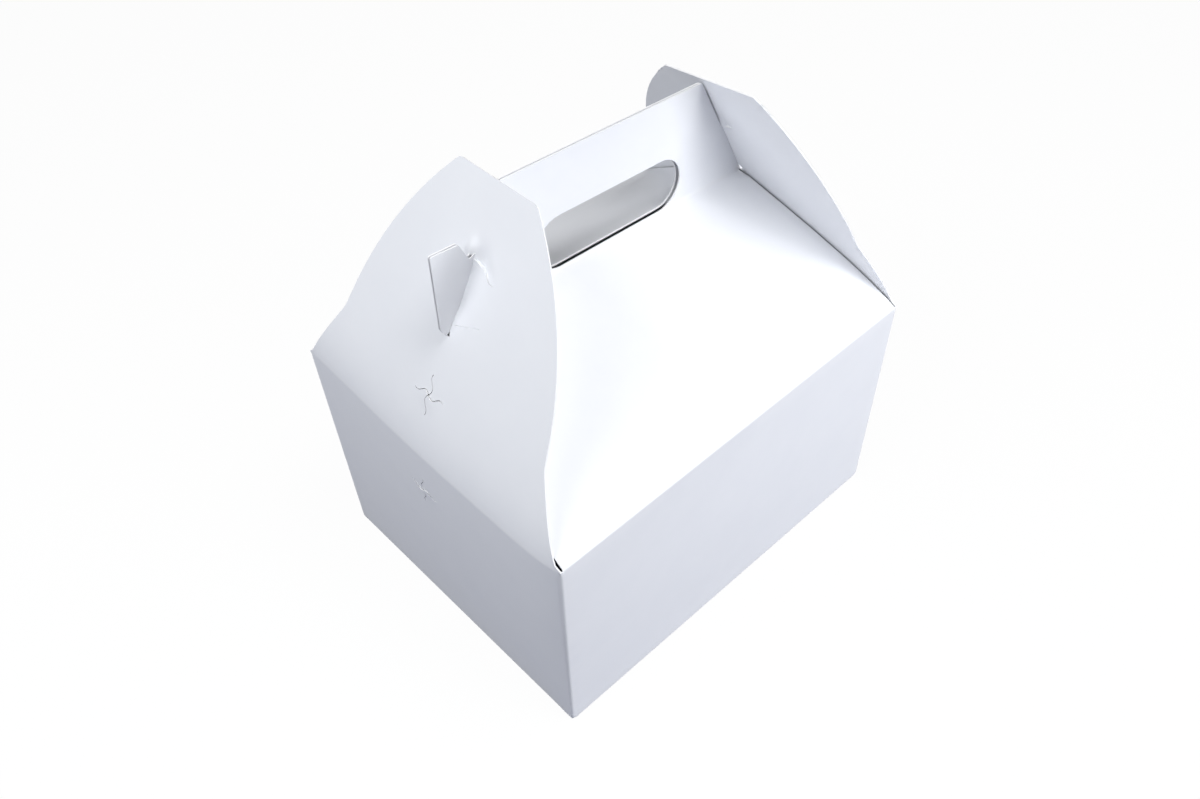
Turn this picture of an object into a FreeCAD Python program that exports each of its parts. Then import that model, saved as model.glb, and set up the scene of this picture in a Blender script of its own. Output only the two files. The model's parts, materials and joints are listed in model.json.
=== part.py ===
"""Carry-out food carton: one folded and glued card sheet with a gabled roof and a two-ply handle,
closed at each end by a hinged end flap that hooks over a tab of the handle.

Millimetres, +Z up, X along the handle. The origin is the centre of the bottom face."""

import FreeCAD, Part
import os
import Sketcher

# Driving dimensions: name, value, meaning. Lengths in millimetres, angles in degrees.
DIMENSIONS = [
    ("box_length", 200.0, "outside length of the walls, along X"),
    ("box_width", 156.0, "outside width of the walls, along Y"),
    ("wall_height", 112.0, "bottom face to the crease round the rim"),
    ("card_thickness", 0.6, "thickness of the card"),
    ("fold_radius", 0.5, "inside radius of a creased fold"),
    ("roof_rise", 45.0, "rim crease up to the handle crease"),
    ("handle_rise", 47.5, "handle crease up to the top edge"),
    ("crease_radius", 3.0, "radius of the soft fold from roof to handle"),
    ("ply_gap", 1.2, "space between the two plies of the handle"),
    ("hand_hole_length", 75.0, "length of the hand hole"),
    ("hand_hole_height", 22.0, "height of the hand hole"),
    ("hand_hole_rise", 1.0, "handle crease up to the hand hole"),
    ("tab_setback", 18.0, "end wall back to the end edge of a tab"),
    ("tab_rise", 31.2, "handle crease up to the top of a tab"),
    ("tab_foot_rise", 1.0, "handle crease up to the foot of a tab"),
    ("tab_chamfer_run", 2.0, "length of the slanted corner at a tab's foot"),
    ("tab_chamfer_rise", 3.5, "height of the slanted corner at a tab's foot"),
    ("tab_top_length", 11.5, "length of a tab's top edge"),
    ("notch_run", 4.5, "length of the notch's slanted side"),
    ("notch_depth", 6.7, "depth of the notch behind a tab's top edge"),
    ("notch_lip", 2.5, "bottom of the notch up to the handle's end edge"),
    ("end_flap_length", 106.0, "rim crease to the top edge of an end flap"),
    ("end_flap_lean", 28.0, "angle by which a closed end flap leans inwards"),
    ("end_flap_inset", 0.3, "wall face in to the side of an end flap's root"),
    ("end_flap_shoulder", 118.0, "width of an end flap where its curved sides start"),
    ("end_flap_shoulder_rise", 31.0, "rim crease to the start of the curved sides"),
    ("end_flap_top", 42.0, "width of an end flap at its top edge"),
    ("end_flap_bulge", 7.0, "height of the curved sides over their chord"),
    ("end_flap_corner", 3.0, "radius of an end flap's top corners"),
    ("hinge_gap", 0.25, "hinge line up to an end flap's root edge"),
    ("clearance", 0.3, "between an end flap and the roof's side edges"),
    ("slot_side_clearance", 0.4, "between a tab's face and the side of its slot"),
    ("slot_end_clearance", 0.5, "between a tab's swing and the end of its slot"),
    ("tongue_width", 13.0, "handle's middle plane to the root of a tongue"),
    ("tongue_top", 77.0, "rim crease to the highest point of a tongue's slit"),
    ("tongue_radius", 18.0, "radius of a tongue's upper slit"),
    ("tongue_foot_start", 51.0, "rim crease to the start of a tongue's lower slit"),
    ("tongue_foot_end", 55.2, "rim crease to the end of a tongue's lower slit"),
    ("slit_width", 0.4, "width of a cut that only parts the card"),
    ("vent_arm_radius", 5.5, "radius of a steam vent's curved arms"),
    ("vent_arm_sweep", 85.0, "angle swept by a steam vent's curved arm"),
    ("vent_rise", 22.0, "rim crease up to an end flap's steam vent"),
    ("vent_drop", 28.0, "rim crease down to an end wall's steam vent"),
    ("bottom_flap_length", 62.0, "length of an inner end flap of the bottom"),
    ("bottom_seam", 0.4, "gap between the two outer flaps of the bottom"),
    ("glue_flap_width", 15.0, "width of the flap that closes the walls"),
    ("glue_flap_margin", 3.0, "shortening of the glue flap at top and bottom"),
]

# Extra length by which a cutting shape passes the face that it starts from.
OVERCUT = 1.0
# How near two places are to count as the same one, and the least volume that counts as a change.
MATCH = 1e-4

# Lengths and angles worked out from the driving dimensions.
HALF_LENGTH = "(dims.box_length / 2)"
HALF_WIDTH = "(dims.box_width / 2)"
OUTER_FOLD = "(dims.fold_radius + dims.card_thickness)"
HALF_HANDLE = "(dims.ply_gap / 2 + dims.card_thickness)"
ROOF_RUN = f"({HALF_WIDTH} - {HALF_HANDLE})"
ROOF_SLOPE = f"atan(dims.roof_rise / {ROOF_RUN})"
RIM_DROP = f"(1.05 * {OUTER_FOLD} * tan((90 deg - {ROOF_SLOPE}) / 2))"
WALL_TOP = f"(dims.wall_height - {RIM_DROP})"
CREASE = "(dims.wall_height + dims.roof_rise)"
HANDLE_TOP = f"({CREASE} + dims.handle_rise)"
LEAN = "(dims.end_flap_lean * 1 deg)"

# Where a tab comes nearest to and furthest from the hinge line as its end flap swings over it.
TAB_FOOT_RADIUS = ("sqrt((dims.tab_setback + dims.tab_chamfer_run)^2"
                   " + (dims.roof_rise + dims.tab_foot_rise)^2)")
TAB_HOOK_RADIUS = ("sqrt((dims.tab_setback + dims.tab_top_length)^2"
                   " + (dims.roof_rise + dims.tab_rise)^2)")


def make_sheet(doc):
    """The spreadsheet of driving dimensions, one row each."""
    sheet = doc.addObject("Spreadsheet::Sheet", "dims")
    for row, (name, size, meaning) in enumerate(DIMENSIONS, start=1):
        sheet.set(f"A{row}", name)
        sheet.set(f"B{row}", str(size))
        sheet.set(f"C{row}", meaning)
        sheet.setAlias(f"B{row}", name)
    doc.recompute()
    return sheet


class Piece:
    """One body of the document, whose features take their sizes from the sheet."""

    def __init__(self, doc, sheet, label):
        self.doc = doc
        self.sheet = sheet
        self.body = doc.addObject("PartDesign::Body", label)
        self.body.Label = label
        doc.recompute()

    def value(self, expression):
        """The number that an expression of the sheet's cells gives."""
        result = self.sheet.evalExpression(expression)
        return float(getattr(result, "Value", result))

    def plane(self, role):
        """One of the body's own origin planes, found by its role."""
        return next(f for f in self.body.Origin.OriginFeatures if f.Role == role)

    def add(self, kind, name, sizes):
        """A new feature of the body with its sizes bound to expressions."""
        feature = self.body.newObject(kind, name)
        for prop, expression in sizes.items():
            feature.setExpression(prop, expression)
        return feature

    def finish(self, feature):
        """Make a feature the tip of the body and build it."""
        self.body.Tip = feature
        self.doc.recompute()
        return feature

    def box(self, kind, name, low, high):
        """A box between two corners, added to or taken from the body."""
        sizes = {"Length": f"({high[0]}) - ({low[0]})",
                 "Width": f"({high[1]}) - ({low[1]})",
                 "Height": f"({high[2]}) - ({low[2]})",
                 "Placement.Base.x": low[0],
                 "Placement.Base.y": low[1],
                 "Placement.Base.z": low[2]}
        return self.finish(self.add(f"PartDesign::{kind}Box", name, sizes))

    def sketch(self, name, role, offset=None):
        """A sketch on an origin plane, moved by an offset along its own three directions."""
        sketch = self.body.newObject("Sketcher::SketchObject", name)
        sketch.AttachmentSupport = [(self.plane(role), "")]
        sketch.MapMode = "FlatFace"
        for axis, expression in zip("xyz", offset or ()):
            sketch.setExpression(f"AttachmentOffset.Base.{axis}", expression)
        return sketch

    def pin(self, sketch, name, geometry, point, x, y):
        """Hold one point of a sketch's geometry at a place given by two expressions."""
        for kind, letter, expression in (("DistanceX", "x", x), ("DistanceY", "y", y)):
            length = self.value(expression)
            index = sketch.addConstraint(Sketcher.Constraint(kind, -1, 1, geometry, point, length))
            sketch.renameConstraint(index, f"{name}_{letter}")
            sketch.setExpression(f"Constraints.{name}_{letter}", expression)

    def radius(self, sketch, name, geometry, expression):
        """Give an arc of a sketch its radius."""
        size = self.value(expression)
        index = sketch.addConstraint(Sketcher.Constraint("Radius", geometry, size))
        sketch.renameConstraint(index, name)
        sketch.setExpression(f"Constraints.{name}", expression)

    def outline(self, sketch, corners, bulges=None):
        """A closed outline through named corners, with an arc after a corner that has a bulge.

        A corner is (name, x, y) and bulges maps a corner's name to (height, radius) of the arc
        that runs from it to the next corner. A positive height bulges to the right of the way.
        An arc with no radius is a half circle on an upright chord."""
        bulges = bulges or {}
        points = [FreeCAD.Vector(self.value(x), self.value(y), 0) for _, x, y in corners]
        edges = []
        for index, (name, _, _) in enumerate(corners):
            start = points[index]
            end = points[(index + 1) % len(points)]
            if name in bulges:
                way = (end - start).normalize()
                side = FreeCAD.Vector(way.y, -way.x, 0) * self.value(bulges[name][0])
                curve = Part.Arc(start, (start + end) * 0.5 + side, end)
            else:
                curve = Part.LineSegment(start, end)
            edges.append(sketch.addGeometry(curve, False))
        ends = [self.ends(sketch, edge, points[i]) for i, edge in enumerate(edges)]
        for i, edge in enumerate(edges):
            following = (i + 1) % len(edges)
            sketch.addConstraint(Sketcher.Constraint(
                "Coincident", edge, ends[i][1], edges[following], ends[following][0]))
        for i, (name, x, y) in enumerate(corners):
            self.pin(sketch, name, edges[i], ends[i][0], x, y)
            if name in bulges and bulges[name][1] is None:
                sketch.addConstraint(Sketcher.Constraint("Vertical", edges[i], 3, edges[i], 1))
            elif name in bulges:
                self.radius(sketch, f"{name}_radius", edges[i], bulges[name][1])
        return dict(zip([name for name, _, _ in corners], edges))

    @staticmethod
    def ends(sketch, edge, start):
        """The numbers of an edge's first and last point, given where the outline enters it."""
        if sketch.getPoint(edge, 1).distanceToPoint(start) < MATCH:
            return 1, 2
        return 2, 1

    def round_corner(self, sketch, name, before, after, corner, size):
        """Round the corner between two straight edges of an outline."""
        at = FreeCAD.Vector(self.value(corner[0]), self.value(corner[1]), 0)
        radius = self.value(size)
        touch = [self.point_along(sketch, edge, at, radius) for edge in (before, after)]
        sketch.fillet(before, after, touch[0], touch[1], radius, True, True)
        arc = max(i for i, g in enumerate(sketch.Geometry) if isinstance(g, Part.ArcOfCircle))
        self.radius(sketch, name, arc, size)

    @staticmethod
    def point_along(sketch, edge, corner, distance):
        """The point of a straight edge at a distance from one of its ends."""
        line = sketch.Geometry[edge]
        far = max((line.StartPoint, line.EndPoint), key=lambda p: p.distanceToPoint(corner))
        return corner + (far - corner).normalize() * distance

    def extrude(self, kind, name, sketch, length, side, reverse=False):
        """A pad or a pocket of a sketch, whose change of volume shows that it did something."""
        before = 0.0 if self.body.Shape.isNull() else self.body.Shape.Volume
        feature = self.add(f"PartDesign::{kind}", name, {"Length": length})
        feature.Profile = sketch
        feature.SideType = side
        feature.Reversed = reverse
        self.finish(feature)
        change = feature.Shape.Volume - before
        if abs(change) < MATCH or (change > 0) != (kind == "Pad"):
            raise RuntimeError(f"{name} changed the volume by {change:.4f}")
        return feature

    def mirror(self, name, original, role):
        """The mirror image of a feature in one of the origin planes."""
        feature = self.body.newObject("PartDesign::Mirrored", name)
        feature.Originals = [original]
        feature.MirrorPlane = (self.plane(role), [""])
        return self.finish(feature)

    def fillet(self, name, radius, chosen):
        """Round the edges of the body whose two ends and middle all pass a test."""
        base = self.body.Tip
        names = []
        for index, edge in enumerate(base.Shape.Edges, start=1):
            middle = edge.valueAt((edge.FirstParameter + edge.LastParameter) / 2)
            if all(chosen(point) for point in [v.Point for v in edge.Vertexes] + [middle]):
                names.append(f"Edge{index}")
        feature = self.add("PartDesign::Fillet", name, {"Radius": radius})
        feature.Base = (base, names)
        return self.finish(feature)

    def vent(self, name, offset, hand):
        """A steam vent: four curved slits that meet at a point, bent to one hand."""
        sketch = self.sketch(f"{name}_arm", "YZ_Plane", offset)
        inner = "(dims.vent_arm_radius - dims.slit_width / 2)"
        outer = "(dims.vent_arm_radius + dims.slit_width / 2)"
        cosine = "cos(dims.vent_arm_sweep * 1 deg)"
        sine = "sin(dims.vent_arm_sweep * 1 deg)"
        bend = "(1 - cos(dims.vent_arm_sweep / 2 * 1 deg))"
        along = f"{hand} * dims.vent_arm_radius"
        corners = [("outer_root", f"{along} - {hand} * {outer}", "0"),
                   ("outer_tip", f"{along} - {hand} * {outer} * {cosine}", f"{outer} * {sine}"),
                   ("inner_tip", f"{along} - {hand} * {inner} * {cosine}", f"{inner} * {sine}"),
                   ("inner_root", f"{along} - {hand} * {inner}", "0")]
        bulges = {"outer_root": (f"-1 * {hand} * {outer} * {bend}", outer),
                  "inner_tip": (f"{hand} * {inner} * {bend}", inner)}
        self.outline(sketch, corners, bulges)
        arm = self.extrude("Pocket", name, sketch, "4 * dims.card_thickness", "Symmetric")
        pattern = self.body.newObject("PartDesign::PolarPattern", f"{name}_arms")
        pattern.Originals = [arm]
        pattern.Axis = (sketch, ["N_Axis"])
        pattern.Angle = 360.0
        pattern.Occurrences = 4
        return self.finish(pattern)


def add_walls(piece):
    """The four walls and the two-layer bottom, with rounded folds."""
    piece.box("Additive", "wall_block",
              (f"-{HALF_LENGTH}", f"-{HALF_WIDTH}", "0"), (HALF_LENGTH, HALF_WIDTH, WALL_TOP))
    half_length = piece.value(HALF_LENGTH)
    half_width = piece.value(HALF_WIDTH)
    thickness = piece.value("dims.card_thickness")

    def outer_fold(point):
        """On a vertical corner or round the bottom face."""
        corner = abs(abs(point.x) - half_length) < MATCH and abs(abs(point.y) - half_width) < MATCH
        return corner or abs(point.z) < MATCH

    def inner_corner(point):
        """On a vertical corner of the space inside."""
        at_end = abs(abs(point.x) - half_length + thickness) < MATCH
        return at_end and abs(abs(point.y) - half_width + thickness) < MATCH

    piece.fillet("outer_folds", OUTER_FOLD, outer_fold)
    inside_length = f"({HALF_LENGTH} - dims.card_thickness)"
    inside_width = f"({HALF_WIDTH} - dims.card_thickness)"
    piece.box("Subtractive", "space_inside",
              (f"-{inside_length}", f"-{inside_width}", "2 * dims.card_thickness"),
              (inside_length, inside_width, WALL_TOP))
    piece.fillet("inner_folds", "dims.fold_radius", inner_corner)
    return inside_length, inside_width


def add_bottom_and_glue_flap(piece, inside_length, inside_width):
    """Part the bottom into its flaps, and add the glued flap inside the back wall."""
    between = f"({inside_length} - dims.bottom_flap_length)"
    piece.box("Subtractive", "between_end_flaps",
              (f"-{between}", f"-{inside_width}", "dims.card_thickness"),
              (between, inside_width, "2 * dims.card_thickness"))
    seam_end = f"({HALF_LENGTH} - 2 * {OUTER_FOLD})"
    piece.box("Subtractive", "bottom_seam_cut",
              (f"-{seam_end}", "-dims.bottom_seam / 2", f"-{OVERCUT}"),
              (seam_end, "dims.bottom_seam / 2", "dims.card_thickness"))
    piece.box("Additive", "glue_flap",
              (f"{inside_length} - dims.glue_flap_width",
               f"{inside_width} - dims.card_thickness",
               "2 * dims.card_thickness + dims.glue_flap_margin"),
              (inside_length, inside_width, f"{WALL_TOP} - dims.glue_flap_margin"))


def add_roof_and_handle(piece):
    """The front roof panel and handle ply as one folded strip, and its mirror image behind."""
    sketch = piece.sketch("roof_profile", "YZ_Plane")
    slope = f"(dims.roof_rise / {ROOF_RUN})"
    below = f"(dims.card_thickness * {slope} - dims.card_thickness / cos({ROOF_SLOPE}))"
    inside = f"-{HALF_WIDTH} + dims.card_thickness"
    corners = [("wall_outside", f"-{HALF_WIDTH}", WALL_TOP),
               ("rim_outside", f"-{HALF_WIDTH}", "dims.wall_height"),
               ("crease_outside", f"-{HALF_HANDLE}", CREASE),
               ("top_outside", f"-{HALF_HANDLE}", HANDLE_TOP),
               ("top_inside", "-dims.ply_gap / 2", HANDLE_TOP),
               ("crease_inside", "-dims.ply_gap / 2", f"{CREASE} + {below}"),
               ("rim_inside", inside, f"dims.wall_height + {below}"),
               ("wall_inside", inside, WALL_TOP)]
    edges = piece.outline(sketch, corners)
    folds = [("wall_outside", "rim_outside", OUTER_FOLD),
             ("rim_outside", "crease_outside", "dims.crease_radius"),
             ("top_inside", "crease_inside", "(dims.crease_radius + dims.card_thickness)"),
             ("crease_inside", "rim_inside", "dims.fold_radius")]
    places = {name: (x, y) for name, x, y in corners}
    for before, after, size in folds:
        piece.round_corner(sketch, f"{after}_fold", edges[before], edges[after],
                           places[after], size)
    strip = piece.extrude("Pad", "front_roof_and_ply", sketch,
                          f"2 * ({HALF_LENGTH} - {OUTER_FOLD})", "Symmetric")
    piece.mirror("back_roof_and_ply", strip, "XZ_Plane")


def trim_ends(piece):
    """Cut the strip's ends to the leaning end flaps, leaving the hooked tabs standing."""
    sketch = piece.sketch("end_outline", "XZ_Plane")
    standoff = f"((dims.card_thickness + dims.clearance) / cos({LEAN}))"

    def under_flap(height):
        """Distance from the middle to the end flap's inner face, at a height over the rim."""
        return f"{HALF_LENGTH} - {standoff} - ({height}) * tan({LEAN})"

    tab_end = f"{HALF_LENGTH} - dims.tab_setback"
    tab_foot = f"{CREASE} + dims.tab_foot_rise"
    tab_top = f"{CREASE} + dims.tab_rise"
    notch_bottom = f"{tab_top} - dims.notch_depth"
    notch_end = f"{tab_end} - dims.tab_top_length"
    lip_rise = "dims.roof_rise + dims.tab_rise - dims.notch_depth + dims.notch_lip"
    outside = f"{HALF_LENGTH} + {OVERCUT}"
    above = f"{HANDLE_TOP} + {OVERCUT}"
    corners = [("rim", under_flap(f"-1 * {RIM_DROP}"), WALL_TOP),
               ("foot_root", under_flap("dims.roof_rise + dims.tab_foot_rise"), tab_foot),
               ("foot", f"{tab_end} - dims.tab_chamfer_run", tab_foot),
               ("foot_side", tab_end, f"{tab_foot} + dims.tab_chamfer_rise"),
               ("hook_end", tab_end, tab_top),
               ("hook", notch_end, tab_top),
               ("notch", f"{notch_end} - dims.notch_run", notch_bottom),
               ("lip", under_flap(lip_rise), f"{notch_bottom} + dims.notch_lip"),
               ("top", under_flap("dims.roof_rise + dims.handle_rise"), HANDLE_TOP),
               ("top_over", under_flap("dims.roof_rise + dims.handle_rise"), above),
               ("corner_over", outside, above),
               ("corner", outside, WALL_TOP)]
    piece.outline(sketch, corners)
    cut = piece.extrude("Pocket", "right_end_cut", sketch, "2 * dims.box_width", "Symmetric")
    piece.mirror("left_end_cut", cut, "YZ_Plane")


def cut_hand_hole(piece):
    """The round-ended hand hole through both plies."""
    sketch = piece.sketch("hand_hole_outline", "XZ_Plane")
    radius = "(dims.hand_hole_height / 2)"
    straight = f"(dims.hand_hole_length / 2 - {radius})"
    low = f"{CREASE} + dims.hand_hole_rise"
    high = f"{low} + dims.hand_hole_height"
    corners = [("low_left", f"-{straight}", low), ("low_right", straight, low),
               ("high_right", straight, high), ("high_left", f"-{straight}", high)]
    piece.outline(sketch, corners, {"low_right": (radius, None), "high_left": (radius, None)})
    piece.extrude("Pocket", "hand_hole", sketch,
                  f"2 * ({HALF_HANDLE} + {OVERCUT})", "Symmetric")


def build_carton(doc, sheet):
    """The folded sheet without its two end flaps."""
    piece = Piece(doc, sheet, "carton")
    inside_length, inside_width = add_walls(piece)
    add_bottom_and_glue_flap(piece, inside_length, inside_width)
    add_roof_and_handle(piece)
    trim_ends(piece)
    cut_hand_hole(piece)
    height = "dims.wall_height - dims.vent_drop"
    piece.vent("left_vent", ("0", height, f"-{HALF_LENGTH}"), "1")
    piece.vent("right_vent", ("0", height, HALF_LENGTH), "-1")
    return piece.body


def cut_slot_and_tongue(piece):
    """The slot that swings over a tab, and the two slits that free the tongue beside it."""
    half_slot = f"({HALF_HANDLE} + dims.slot_side_clearance)"
    slot = piece.sketch("slot_outline", "YZ_Plane")
    low = f"{TAB_FOOT_RADIUS} - dims.slot_end_clearance"
    high = f"{TAB_HOOK_RADIUS} + dims.slot_end_clearance"
    piece.outline(slot, [("low_left", f"-{half_slot}", low), ("low_right", half_slot, low),
                         ("high_right", half_slot, high), ("high_left", f"-{half_slot}", high)])
    piece.extrude("Pocket", "slot", slot, "4 * dims.card_thickness", "Symmetric")

    foot = piece.sketch("tongue_foot_outline", "YZ_Plane")
    start = ("0", "dims.tongue_foot_start")
    end = ("-dims.tongue_width", "dims.tongue_foot_end")
    piece.outline(foot, [("start_low", *start),
                         ("start_high", start[0], f"{start[1]} + dims.slit_width"),
                         ("end_high", end[0], f"{end[1]} + dims.slit_width"),
                         ("end_low", *end)])
    piece.extrude("Pocket", "tongue_foot_slit", foot, "4 * dims.card_thickness", "Symmetric")

    top = piece.sketch("tongue_top_outline", "YZ_Plane")
    inner = "(dims.tongue_radius - dims.slit_width)"
    outer = "dims.tongue_radius"
    centre = "(dims.tongue_top - dims.tongue_radius)"
    sweep = "asin(dims.tongue_width / dims.tongue_radius)"
    bend = f"(1 - cos({sweep} / 2))"
    corners = [("outer_root", "0", f"{centre} + {outer}"),
               ("outer_tip", f"-{outer} * sin({sweep})", f"{centre} + {outer} * cos({sweep})"),
               ("inner_tip", f"-{inner} * sin({sweep})", f"{centre} + {inner} * cos({sweep})"),
               ("inner_root", "0", f"{centre} + {inner}")]
    bulges = {"outer_root": (f"{outer} * {bend}", outer),
              "inner_tip": (f"-{inner} * {bend}", inner)}
    piece.outline(top, corners, bulges)
    piece.extrude("Pocket", "tongue_top_slit", top, "4 * dims.card_thickness", "Symmetric")


def build_end_flap(doc, sheet, label, turn):
    """An end flap: drawn upright, leant over the left end wall's rim, then turned about Z."""
    piece = Piece(doc, sheet, label)
    sketch = piece.sketch("flap_outline", "YZ_Plane")
    root = f"({HALF_WIDTH} - dims.end_flap_inset)"
    shoulder = "(dims.end_flap_shoulder / 2)"
    top = "(dims.end_flap_top / 2)"
    rise = "dims.end_flap_shoulder_rise"
    length = "dims.end_flap_length"
    half_chord_squared = f"((({shoulder} - {top})^2 + ({length} - {rise})^2) / 4)"
    side_radius = f"(({half_chord_squared} + dims.end_flap_bulge^2) / (2 * dims.end_flap_bulge))"
    corners = [("root_left", f"-{root}", "dims.hinge_gap"), ("root_right", root, "dims.hinge_gap"),
               ("shoulder_right", shoulder, rise), ("top_right", top, length),
               ("top_left", f"-{top}", length), ("shoulder_left", f"-{shoulder}", rise)]
    bulges = {"shoulder_right": ("dims.end_flap_bulge", side_radius),
              "top_left": ("dims.end_flap_bulge", side_radius)}
    piece.outline(sketch, corners, bulges)
    piece.extrude("Pad", "flap_card", sketch, "dims.card_thickness", "One side")
    half_top = piece.value(top)
    end = piece.value(length)
    piece.fillet("top_corners", "dims.end_flap_corner",
                 lambda p: abs(abs(p.y) - half_top) < MATCH and abs(p.z - end) < MATCH)
    cut_slot_and_tongue(piece)
    piece.vent("vent", ("0", "dims.vent_rise", "0"), "1")
    piece.body.setExpression("Placement", (
        f"placement(vector(0; 0; 0); rotation(vector(0; 0; 1); {turn}))"
        f" * placement(vector(-{HALF_LENGTH}; 0; dims.wall_height);"
        " rotation(vector(0; 1; 0); dims.end_flap_lean))"))
    doc.recompute()
    return piece.body


def check(doc, bodies):
    """Stop if any object failed to build or a body is not one valid solid."""
    for item in doc.Objects:
        if {"Invalid", "Error"} & set(item.State):
            raise RuntimeError(f"{item.Name}: {item.State}")
    for body in bodies:
        shape = body.Shape
        if shape.isNull() or not shape.isValid() or len(shape.Solids) != 1:
            raise RuntimeError(f"{body.Label} is not one valid solid")


def main():
    doc = FreeCAD.newDocument("food_carton")
    sheet = make_sheet(doc)
    bodies = [build_carton(doc, sheet),
              build_end_flap(doc, sheet, "left_end_flap", 0),
              build_end_flap(doc, sheet, "right_end_flap", 180)]
    doc.recompute()
    check(doc, bodies)
    os.makedirs("parts", exist_ok=True)
    for body in bodies:
        body.Shape.exportStep(f"parts/{body.Label}.step")
        bounds = body.Shape.BoundBox
        print(f"{body.Label}: {body.Shape.Volume:.1f} mm3, {len(body.Shape.Faces)} faces, "
              f"x {bounds.XMin:.2f} {bounds.XMax:.2f}, y {bounds.YMin:.2f} {bounds.YMax:.2f}, "
              f"z {bounds.ZMin:.2f} {bounds.ZMax:.2f}")


main()
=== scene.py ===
"""Looks of the takeout food box: one sheet of white card, cut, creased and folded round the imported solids.

Each panel is drawn flat, as it lies in the cut sheet, then folded into place, joined to its neighbours
and given the card's thickness. Lengths in this file are millimetres unless a name says otherwise."""

import json
import math

import bmesh
import bpy
import numpy as np
from mathutils import Matrix, Vector
from mathutils.geometry import delaunay_2d_cdt


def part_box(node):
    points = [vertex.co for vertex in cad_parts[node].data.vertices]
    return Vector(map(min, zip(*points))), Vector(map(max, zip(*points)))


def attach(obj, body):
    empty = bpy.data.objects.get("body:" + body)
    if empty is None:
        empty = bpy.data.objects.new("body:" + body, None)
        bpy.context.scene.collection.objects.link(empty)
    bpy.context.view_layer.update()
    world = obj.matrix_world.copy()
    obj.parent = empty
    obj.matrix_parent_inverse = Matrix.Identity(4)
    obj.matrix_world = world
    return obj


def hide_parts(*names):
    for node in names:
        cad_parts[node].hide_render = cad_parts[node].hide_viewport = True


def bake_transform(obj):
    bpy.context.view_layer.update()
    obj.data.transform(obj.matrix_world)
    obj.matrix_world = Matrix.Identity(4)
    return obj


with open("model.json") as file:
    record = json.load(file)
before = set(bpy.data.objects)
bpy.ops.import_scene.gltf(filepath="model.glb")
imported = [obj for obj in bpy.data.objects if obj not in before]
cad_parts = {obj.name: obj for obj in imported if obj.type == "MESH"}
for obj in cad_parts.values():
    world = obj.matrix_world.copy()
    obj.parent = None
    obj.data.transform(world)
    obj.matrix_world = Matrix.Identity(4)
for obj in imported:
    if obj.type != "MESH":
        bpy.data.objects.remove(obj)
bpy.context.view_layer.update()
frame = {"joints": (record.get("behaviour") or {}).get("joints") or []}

MM = 0.001
TINY = 1e-6

# The reach of the solids and the height of the rim, read from the frame.
carton_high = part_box("carton")[1]
HALF_LENGTH = carton_high.x / MM
HALF_WIDTH = carton_high.y / MM
HANDLE_TOP = carton_high.z / MM
hinges = {joint["name"]: joint for joint in frame["joints"]}
RIM = hinges["left_end_flap_hinge"]["pos_m"][2] / MM

# The card and its folds. A fold's radius is that of the card's middle layer.
CARD = 0.6
HALF_CARD = CARD / 2
LAYER_GAP = 0.02
FOLD = 0.8
CREASE_FOLD = 3.0
FOLD_TURN = math.radians(12)

# The turn beyond which an edge is drawn sharp, and the gap up to which points of panels are joined.
SHARP_EDGE = math.radians(50)
WELD = 0.004

# The roof, the handle and its tabs, as in the solids.
ROOF_RISE = 45.0
PLY_GAP = 1.2
PLY_FACE = PLY_GAP / 2 + CARD
CREASE = RIM + ROOF_RISE
HOLE_LENGTH = 77.0
HOLE_SHIFT = 1.0
HOLE_BOTTOM = CREASE + 1.0
HOLE_TOP = HOLE_BOTTOM + 23.2
HOLE_POINTS = 17
TAB_END = HALF_LENGTH - 18.0

# The tab's corners as (x, z) from its root to the notch, and the height of the lip inside the notch.
TAB = [
    (TAB_END - 1.0, CREASE - 1.5), (TAB_END + 0.4, CREASE + 1.6), (TAB_END - 0.2, CREASE + 32.4),
    (TAB_END - 11.8, CREASE + 32.0), (TAB_END - 15.5, CREASE + 24.7),
]
TAB_ROOT = CREASE - 0.3
TAB_RADII = [0.8, 1.0, 0.8, 0.8, 1.0, 1.2]
NOTCH_LIP = CREASE + 27.0
HANDLE_CORNER = 2.0

# Where the uncreased tab stands upright beside the roof's fold: inwards from its root, over what
# width, and from how far below the fold.
TAB_TURN_INSET, TAB_TURN_WIDTH, TAB_TURN_DROP = 3.0, 2.5, 4.5

# How far the plies are pinched together towards the tabs and the top, and over what lengths.
PLY_PINCH = 0.4
PINCH_INSET, PINCH_WIDTH, PINCH_RISE = 22.0, 18.0, 4.0

# The ends of the side panels: how far the bottom flap and the roof stay inside the end walls.
BOTTOM_INSETS = (0.6, 0.2)
ROOF_INSET = 0.35
ROOF_END_POINTS = 24

# How the folded handle sits a little higher and further back at its left end than at its right.
LEFT_LIFT, RIGHT_LIFT = 1.6, 0.3
LEFT_SWAY, RIGHT_SWAY = 2.0, 0.5
TOP_GROWTH = 1.6

# How far the corners of the walls stand out of true, by the side of each axis that they are on.
CORNER_SHIFTS = {
    (-1, -1, 0): (1.8, 1.0, 0.0), (1, -1, 0): (0.5, -1.4, 0.0),
    (-1, -1, 1): (0.1, -0.5, -1.0), (-1, 1, 1): (-1.0, 1.0, 1.0), (1, 1, 1): (0.0, 1.5, 1.0),
}

# An end flap, drawn flat: distances up from the rim crease and out from its middle line.
FLAP_LENGTH = 108.0
FLAP_TOP = 21.2
FLAP_CORNER = 3.0
SHOULDER = 59.5
SHOULDER_RISE = 32.0
FLAP_BULGE = 7.0
ROOT_RELIEF = 1.6
ROOT_FOOT = (0.1, 0.5)
ROOT_CUT = (0.9, 2.4)
SHOULDER_RADIUS = 12.0
CURVE_POINTS = 15

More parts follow.
